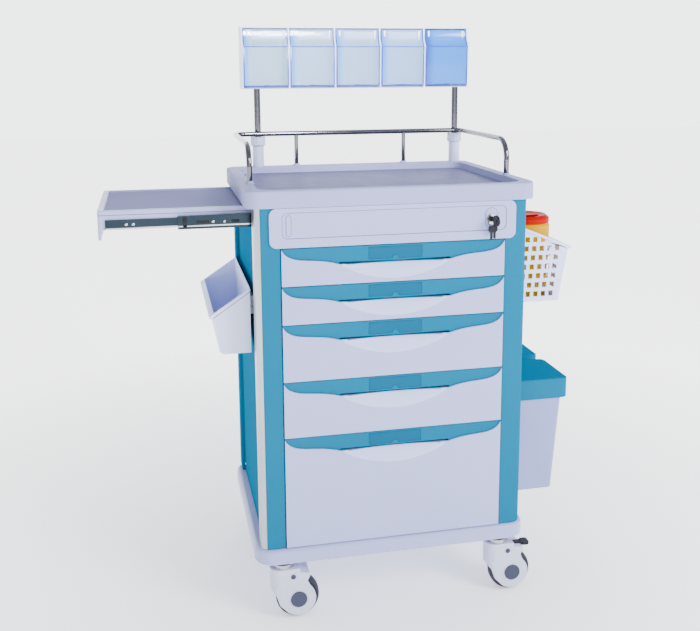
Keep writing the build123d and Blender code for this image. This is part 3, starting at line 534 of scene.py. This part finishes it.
def finish_shape(shape, sharp_angle=SHARP_ANGLE):
    """Cleans a bmesh made of closed parts and shades it."""
    bmesh.ops.remove_doubles(shape, verts=shape.verts, dist=WELD)
    bmesh.ops.recalc_face_normals(shape, faces=shape.faces)
    smooth(shape, sharp_angle)


def bar(shape, low, high, bevel):
    """Adds a straight bar between two corners, with its edges rounded."""
    low, high = Vector(low), Vector(high)
    made = bmesh.ops.create_cube(shape, size=1.0)["verts"]
    size = high - low
    middle = (high + low) / 2
    for vert in made:
        vert.co = Vector([c * s for c, s in zip(vert.co, size)]) + middle
    edges = {edge for vert in made for edge in vert.link_edges}
    bmesh.ops.bevel(
        shape, geom=list(edges), offset=bevel, segments=2, profile=0.5, affect="EDGES"
    )


def strip(shape, points, half_width, thick, x):
    """A flat strip of constant thickness along (y, z) points, at one x."""
    rows = []
    for index, (y, z) in enumerate(points):
        before = Vector(points[max(index - 1, 0)])
        after = Vector(points[min(index + 1, len(points) - 1)])
        way = (after - before).normalized()
        out = Vector((-way.y, way.x)) * thick
        corners = []
        for side_x in (x - half_width, x + half_width):
            corners.append(shape.verts.new((side_x, y, z)))
            corners.append(shape.verts.new((side_x, y + out.x, z + out.y)))
        rows.append(corners)
    for near, far in zip(rows, rows[1:]):
        for a, b in ((0, 1), (1, 3), (3, 2), (2, 0)):
            shape.faces.new((near[a], near[b], far[b], far[a]))
    shape.faces.new((rows[0][0], rows[0][2], rows[0][3], rows[0][1]))
    shape.faces.new((rows[-1][0], rows[-1][1], rows[-1][3], rows[-1][2]))


def screw(shape, place, axle, radius):
    """A low domed screw or rivet head with a dimple in its middle."""
    rise = radius * 0.45
    profile = [(radius, 0), (radius * 0.97, rise * 0.4), (radius * 0.8, rise * 0.8)]
    profile += [(radius * 0.42, rise), (radius * 0.34, rise * 0.35), (0.0001, rise * 0.2)]
    lathe(shape, profile, place, axle, steps=20)


def outline_loop(shape, middle, size, radius, y, width, thick):
    """A thin flat line round a rounded rectangle on an upright face."""
    half_x, half_z = size[0] / 2 - radius, size[1] / 2 - radius
    steps = 8
    inner, outer = [], []
    for corner, (sign_x, sign_z) in enumerate(((1, 1), (-1, 1), (-1, -1), (1, -1))):
        for step in range(steps + 1):
            turn = pi / 2 * (corner + step / steps)
            for reach, ring in ((radius - width, inner), (radius, outer)):
                x = middle[0] + sign_x * half_x + reach * cos(turn)
                z = middle[1] + sign_z * half_z + reach * sin(turn)
                ring.append((shape.verts.new((x, y, z)), shape.verts.new((x, y - thick, z))))
    count = len(outer)
    for index in range(count):
        after = (index + 1) % count
        corners = [
            (inner[index][0], inner[after][0]),
            (inner[index][1], inner[after][1]),
            (outer[index][1], outer[after][1]),
            (outer[index][0], outer[after][0]),
        ]
        for first, second in zip(corners, corners[1:] + corners[:1]):
            shape.faces.new((first[0], first[1], second[1], second[0]))


def slanted_line(shape, start, stop, y, width, thick):
    """A thin straight line between two (x, z) points on an upright face."""
    start, stop = Vector(start), Vector(stop)
    along = (stop - start).normalized()
    drop = Vector((along.y, -along.x)) * width
    corners = (start, stop, stop + drop, start + drop)
    rear = [shape.verts.new((x, y, z)) for x, z in corners]
    front = [shape.verts.new((x, y - thick, z)) for x, z in corners]
    shape.faces.new(front)
    shape.faces.new(rear[::-1])
    for index in range(4):
        after = (index + 1) % 4
        shape.faces.new((rear[index], rear[after], front[after], front[index]))


# ------------------------------------------------------------------ the CAD nodes' finishes
# Nodes whose material isn't the one that their slot names.
OTHER_MATERIAL = {
    "worktop": "worktop_white",
    # The utility box and the sharps basket get painted light.
    "utility_box": "utility_white_painted_light",
    "sharps_basket": "utility_white_painted_light",
    # The buckets get painted shade.
    "waste_buckets": "bucket_painted_shade",
    # The rack's housing gets painted light.
    "rack_housing": "rack_white_painted_light",
    "shelf_tray": "white_abs",
}
OTHER_MATERIAL.update({f"tilt_bin_{number}": f"clear_blue_{number}" for number in NUMBERS})

# Nodes whose edges are rounded off, and the radius in millimetres.
ROUNDING = {
    "base_tray": 2.5,
    "front_fascia": 0.3,
    "corner_columns": 1.0,
    "column_covers": 1.2,
    "shelf_tray": 1.2,
    "sharps_basket": 0.6,
    "waste_buckets": 1.0,
    "waste_lid_front": 1.2,
    "waste_lid_rear": 1.2,
    "rack_housing": 0.7,
    "lock_key": 0.6,
    "slide_channels": 0.2,
    "shelf_slide_inner": 0.3,
    "shelf_slide_middle": 0.3,
}
ROUNDING.update({f"tilt_bin_{number}": 0.7 for number in NUMBERS})
ROUNDING.update({f"drawer_{number}_front": 0.8 for number in NUMBERS})
ROUNDING.update({f"drawer_{number}_cover": 1.4 for number in NUMBERS})
ROUNDING.update({node: 2.2 for node in NODES if node.startswith("caster_fork")})


SCOOP_SMALLEST = 25 * MM * MM
SHELF_FLOOR_DEPTHS = (0.5 * MM, 20 * MM)
HOOD_HALF_WIDTH = 25.3 * MM


def is_scoop(face, low, high):
    """The faces of the finger scoop in a drawer's cover, which look forward and up and get a painted
    highlight.
    """
    return face.normal.z > 0.3 and face.normal.y < -0.6 and face.area > SCOOP_SMALLEST


def is_teal_column(face, low, high):
    """The rear columns, and the front of the right-hand column."""
    return face.center.y > 0 or (face.center.x > 0 and face.normal.y < -0.3)


def is_shelf_floor(face, low, high):
    """The shelf's floor, inside its rim, which gets painted shade."""
    shallowest, deepest = SHELF_FLOOR_DEPTHS
    return face.normal.z > 0.9 and shallowest < high[2] - face.center.z < deepest


def is_axle_cap(face, low, high):
    """The caps at the ends of a caster's axle, outside its hood."""
    return abs(face.center.y - (low[1] + high[1]) / 2) > HOOD_HALF_WIDTH


# Nodes with a second material, and the faces that have it.
SECOND_MATERIAL = {
    "corner_columns": ("teal_panel", is_teal_column),
    # The shelf's floor is painted with shade.
    "shelf_tray": ("shelf_floor_painted_shade", is_shelf_floor),
}
# The drawers' scoops get a painted highlight.
SECOND_MATERIAL.update({f"drawer_{number}_cover": ("scoop_painted_highlight", is_scoop) for number in NUMBERS})
SECOND_MATERIAL.update(
    {node: ("caster_cap", is_axle_cap) for node in NODES if node.startswith("caster_fork")}
)


def finish_nodes():
    """Every CAD node gets its finish; the ones whose edges show get them rounded."""
    for node in NODES:
        material = OTHER_MATERIAL.get(node, SLOT_OF[node])
        if node.startswith("caster_wheel"):
            wheel(node)
        elif node in ROUNDING:
            piece = rounded_copy(node, ROUNDING[node] * MM, material)
            if node in SECOND_MATERIAL:
                repaint(piece, *SECOND_MATERIAL[node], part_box(node))
        else:
            keep(node, material)


def wheel(node):
    """A caster's wheel: a dished hub and a crowned tyre with fine grooves."""
    low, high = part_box(node)
    centre = [(a + b) / 2 for a, b in zip(low, high)]
    half = (high[1] - low[1]) / 2
    radius = (high[2] - low[2]) / 2
    bore = 5.05 * MM
    boss, boss_y = 12 * MM, -half + 2 * MM
    dish_start, dish_stop, dish_y = 15 * MM, 30 * MM, -half + 5 * MM
    rim, rim_y = 34 * MM, -half + 1 * MM
    shoulder = radius - 6 * MM
    side = [(bore, boss_y), (boss, boss_y), (dish_start, dish_y)]
    side += [(dish_stop, dish_y), (rim, rim_y), (shoulder, -half)]
    crown_steps = 16
    crown_drop = 4.5 * MM
    crown_power = 3.2
    groove_depth = 0.5 * MM
    profile = list(side)
    for step in range(crown_steps + 1):
        share = step / crown_steps * 2 - 1
        groove = groove_depth if step % 4 == 2 else 0.0
        profile.append((radius - crown_drop * abs(share) ** crown_power - groove, share * half))
    profile += [(r, -y) for r, y in reversed(side)]
    profile.append(profile[0])
    shape = bmesh.new()
    lathe(shape, profile, centre, (0, 1, 0), steps=64)
    finish_shape(shape, COPY_SHARP_ANGLE)
    add_piece(node + "_finish", shape, "caster_tyre", BODY_OF[node], (node,))


# ------------------------------------------------------------------ the tilt bins' edges and grips
BIN_WALL = 2.9 * MM
BIN_KINK_SHARE = 0.697
BIN_SHOULDER_SHARE = 0.838


def bin_edges(number):
    """The bright moulded edges of a tilt bin, with a small tab at the foot of its front."""
    node = f"tilt_bin_{number}"
    low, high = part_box(node)
    left, right = low[0] + BIN_WALL, high[0] - BIN_WALL
    middle = (left + right) / 2
    front, bottom, top = low[1], low[2], high[2]
    kink = bottom + BIN_KINK_SHARE * (top - bottom)
    shoulder = bottom + BIN_SHOULDER_SHARE * (top - bottom)
    end_gap = 1 * MM
    side = [
        (front + 3.9 * MM, bottom + end_gap),
        (front - 0.1 * MM, kink),
        (front + 11.9 * MM, shoulder),
        (front + 13.9 * MM, top - end_gap),
    ]
    kink_half_depth, kink_half_height = 0.7 * MM, 0.9 * MM
    foot_y, foot_depth = front + 3.2 * MM, 1.4 * MM
    foot_zs = (bottom + 0.4 * MM, bottom + 4 * MM)
    tab_half, tab_half_depth = 6 * MM, 0.8 * MM
    tab_zs = (bottom + 0.6 * MM, bottom + 5 * MM)
    shape = bmesh.new()
    for x in (left, right):
        strip(shape, side, half_width=1.3 * MM, thick=0.7 * MM, x=x)
    bar(
        shape,
        (left, front - kink_half_depth, kink - kink_half_height),
        (right, front + kink_half_depth, kink + kink_half_height),
        bevel=0.4 * MM,
    )
    bar(
        shape,
        (left, foot_y, foot_zs[0]),
        (right, foot_y + foot_depth, foot_zs[1]),
        bevel=0.5 * MM,
    )
    bar(
        shape,
        (middle - tab_half, foot_y - tab_half_depth, tab_zs[0]),
        (middle + tab_half, foot_y + tab_half_depth, tab_zs[1]),
        bevel=0.7 * MM,
    )
    finish_shape(shape)
    material = "bin_edge_deep" if number == NUMBERS[-1] else "bin_edge"
    add_piece(f"tilt_bin_{number}_edges", shape, material, BODY_OF[node])


def bin_grip(number):
    """The pale ledge behind the top of a tilt bin's front, between two end tabs."""
    node = f"tilt_bin_{number}"
    low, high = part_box(node)
    inset = BIN_WALL + 9 * MM
    left, right = low[0] + inset, high[0] - inset
    top = high[2]
    ledge_ys = (low[1] + 15.5 * MM, low[1] + 17.1 * MM)
    ledge_zs = (top - 22 * MM, top - 5 * MM)
    tab_half = 2.2 * MM
    tab_ys = (low[1] + 12.5 * MM, low[1] + 17.5 * MM)
    tab_zs = (top - 24 * MM, top - 3 * MM)
    shape = bmesh.new()
    bar(shape, (left, ledge_ys[0], ledge_zs[0]), (right, ledge_ys[1], ledge_zs[1]), bevel=0.6 * MM)
    for x in (left, right):
        bar(
            shape,
            (x - tab_half, tab_ys[0], tab_zs[0]),
            (x + tab_half, tab_ys[1], tab_zs[1]),
            bevel=0.9 * MM,
        )
    finish_shape(shape)
    add_piece(f"tilt_bin_{number}_grip", shape, "bin_grip", BODY_OF[node])


# ------------------------------------------------------------------ the drawers' label plates
def label_plate(number):
    """The plate that sits in a drawer's label window, with a finger notch below."""
    node = f"drawer_{number}_front"
    low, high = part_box(node)
    half = 57.4 * MM
    thick = 0.7 * MM
    notch = 7.6 * MM
    back_y = low[1] + 1.2 * MM
    top = high[2] - 4.6 * MM
    bottom = top - 24.8 * MM
    arc_steps = 10
    arc = [pi * step / arc_steps for step in range(arc_steps + 1)]
    outline = [(-half, top), (half, top), (half, bottom)]
    outline += [(notch * cos(turn), bottom + notch * sin(turn)) for turn in arc]
    outline.append((-half, bottom))
    shape = bmesh.new()
    shape.faces.new([shape.verts.new((x, back_y, z)) for x, z in outline])
    grown = bmesh.ops.extrude_face_region(shape, geom=list(shape.faces))["geom"]
    for vert in (item for item in grown if isinstance(item, bmesh.types.BMVert)):
        vert.co.y -= thick
    finish_shape(shape)
    add_piece(f"drawer_{number}_label_plate", shape, "teal_plate", BODY_OF[node])


# ------------------------------------------------------------------ the mouldings' painted shadow lines
def fascia_painted_shadow_lines():
    """Painted shadow lines on the fascia: round its recess, the slot at its left end and the lock's
    boss.
    """
    node = "front_fascia"
    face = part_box(node)[0][1]
    lock_low, lock_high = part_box("lock_housing")
    lock_x = (lock_low[0] + lock_high[0]) / 2
    level = (lock_low[2] + lock_high[2]) / 2 + 2 * MM
    recess_x = 2 * MM
    recess_size = (484 * MM, 54 * MM)
    recess_corner = 12 * MM
    recess_y = face + 0.85 * MM
    slot_y = face + 0.1 * MM
    slot_height = 44 * MM
    end_slot = (-226 * MM, 11 * MM)
    lock_boss = (lock_x, 28 * MM)
    shape = bmesh.new()
    outline_loop(
        shape,
        (recess_x, level),
        recess_size,
        recess_corner,
        recess_y,
        width=1.1 * MM,
        thick=0.35 * MM,
    )
    for x, across in (end_slot, lock_boss):
        corner = across / 2 - 0.1 * MM
        size = (across, slot_height)
        outline_loop(shape, (x, level), size, corner, slot_y, width=0.9 * MM, thick=0.3 * MM)
    finish_shape(shape)
    add_piece("front_fascia_painted_shadow_lines", shape, "moulding_painted_shadow", BODY_OF[node])


def rim_painted_shadow_line(node, name, start, stop, y, width, thick):
    """One painted shadow line across the front of a node."""
    shape = bmesh.new()
    slanted_line(shape, start, stop, y, width, thick)
    finish_shape(shape)
    add_piece(name, shape, "moulding_painted_shadow", BODY_OF[node])


def shelf_rim_painted_shadow_line():
    """The painted shadow line under the shelf's rim."""
    low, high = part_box("shelf_tray")
    level = high[2] - 9 * MM
    start, stop = (low[0] + 1.5 * MM, level), (high[0], level)
    rim_painted_shadow_line("shelf_tray", "shelf_rim_painted_shadow_line", start, stop, low[1] + 0.1 * MM, 1.3 * MM, 0.3 * MM)


def utility_lip_painted_shadow_line():
    """The painted shadow line under the utility box's lip, which climbs to the right."""
    low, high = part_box("utility_box")
    start = (low[0] + 7.5 * MM, low[2] + 81.5 * MM)
    stop = (high[0] - 0.5 * MM, high[2] - 6.5 * MM)
    wall_y = low[1] + 4.1 * MM
    rim_painted_shadow_line("utility_box", "utility_box_lip_painted_shadow_line", start, stop, wall_y, 2.2 * MM, 0.4 * MM)


# ------------------------------------------------------------------ the shelf's slides
SIDES = (("front", -1), ("rear", 1))


def slide_side(node, way, inside, outside):
    """A slide's face on one side, and the two depths of a bar that is let into it."""
    low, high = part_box(node)
    face = low[1] if way < 0 else high[1]
    return face, sorted((face - way * inside, face + way * outside))


def inner_slide_details():
    """Two rivets and the bright lower lip on each side of the inner slide."""
    low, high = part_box("shelf_slide_inner")
    level = (low[2] + high[2]) / 2
    lip_zs = (low[2] + 0.2 * MM, low[2] + 3.8 * MM)
    lip_inset = 1 * MM
    rivet_xs = (low[0] + 42 * MM, low[0] + 56 * MM)
    for side, way in SIDES:
        face, lip_ys = slide_side("shelf_slide_inner", way, 0.4 * MM, 0.5 * MM)
        shape = bmesh.new()
        for x in rivet_xs:
            screw(shape, (x, face, level), (0, way, 0), radius=3.4 * MM)
        bar(
            shape,
            (low[0] + lip_inset, lip_ys[0], lip_zs[0]),
            (high[0] - lip_inset, lip_ys[1], lip_zs[1]),
            bevel=0.3 * MM,
        )
        finish_shape(shape)
        add_piece(f"shelf_slide_rivets_{side}", shape, "bright_lip", "shelf")


def middle_slide_details():
    """The black catch and slots, two rivets and the bright lip of the middle slide."""
    low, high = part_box("shelf_slide_middle")
    level = (low[2] + high[2]) / 2
    lip_zs = (low[2] + 5 * MM, low[2] + 8 * MM)
    lip_inset = 0.6 * MM
    rivet_xs = (low[0] + 72 * MM, low[0] + 96 * MM)
    # Each black mark: how far its start and its end are from the slide's left end, and half
    # of its height.
    catch = (10 * MM, 19 * MM, 11 * MM)
    long_slot = (38 * MM, 64 * MM, 3 * MM)
    short_slot = (110 * MM, 126 * MM, 3 * MM)
    for side, way in SIDES:
        face, ys = slide_side("shelf_slide_middle", way, 1 * MM, 0.45 * MM)
        dark = bmesh.new()
        for start, stop, half_height in (catch, long_slot, short_slot):
            bar(
                dark,
                (low[0] + start, ys[0], level - half_height),
                (low[0] + stop, ys[1], level + half_height),
                bevel=0.4 * MM,
            )
        finish_shape(dark)
        add_piece(f"shelf_slide_catch_{side}", dark, "key_black", "shelf_slide")
        bright = bmesh.new()
        bar(
            bright,
            (low[0] + lip_inset, ys[0], lip_zs[0]),
            (high[0] - lip_inset, ys[1], lip_zs[1]),
            bevel=0.3 * MM,
        )
        for x in rivet_xs:
            screw(bright, (x, face, level), (0, way, 0), radius=3.2 * MM)
        finish_shape(bright)
        add_piece(f"shelf_slide_lips_{side}", bright, "bright_lip", "shelf_slide")


# ------------------------------------------------------------------ the panels' screws
def panel_screws():
    """Screw heads in three columns on the back panel, and at the edges of the side panels."""
    head = 3.2 * MM
    back_inset = 12 * MM
    side_inset = 10 * MM
    back_shares = (0.02, 0.26, 0.5, 0.74, 0.975)
    side_shares = (0.03, 0.5, 0.97)
    shape = bmesh.new()
    low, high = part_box("back_panel")
    for x in (low[0] + back_inset, (low[0] + high[0]) / 2, high[0] - back_inset):
        for share in back_shares:
            place = (x, high[1], low[2] + share * (high[2] - low[2]))
            screw(shape, place, (0, 1, 0), head)
    for node, way in (("left_side_panel", -1), ("right_side_panel", 1)):
        low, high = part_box(node)
        face = low[0] if way < 0 else high[0]
        for y in (low[1] + side_inset, high[1] - side_inset):
            for share in side_shares:
                place = (face, y, low[2] + share * (high[2] - low[2]))
                screw(shape, place, (way, 0, 0), head)
    finish_shape(shape)
    add_piece("panel_screws", shape, "bright_lip", "cabinet")


make_camera()
make_studio()
finish_nodes()
for number in NUMBERS:
    bin_edges(number)
    bin_grip(number)
    label_plate(number)
inner_slide_details()
middle_slide_details()
fascia_painted_shadow_lines()
shelf_rim_painted_shadow_line()
utility_lip_painted_shadow_line()
panel_screws()
